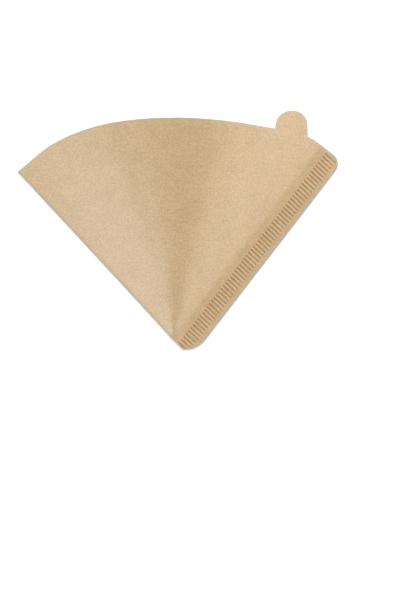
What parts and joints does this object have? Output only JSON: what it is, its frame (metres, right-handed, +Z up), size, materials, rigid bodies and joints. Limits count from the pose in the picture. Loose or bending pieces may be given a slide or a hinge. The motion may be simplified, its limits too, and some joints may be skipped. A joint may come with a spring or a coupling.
{
  "type": "paper coffee filter",
  "caption": "Cone coffee filter of unbleached paper: one folded sheet with a crimped seam, a blunt tip and a round pull tab, parted a little at its mouth.",
  "frame": {"origin": "centre of the footprint, on the surface that the filter lies on", "axes": "+Y from the tip towards the mouth, along the middle between the fold and the seam; +X towards the crimped seam; +Z up, away from the flat lower ply"},
  "size_m": [0.1602, 0.116, 0.0417],
  "materials": {
    "filter_paper": "matt creped paper"
  },
  "bodies": {
    "root": {"coffee_filter": "filter_paper"}
  },
  "joints": []
}
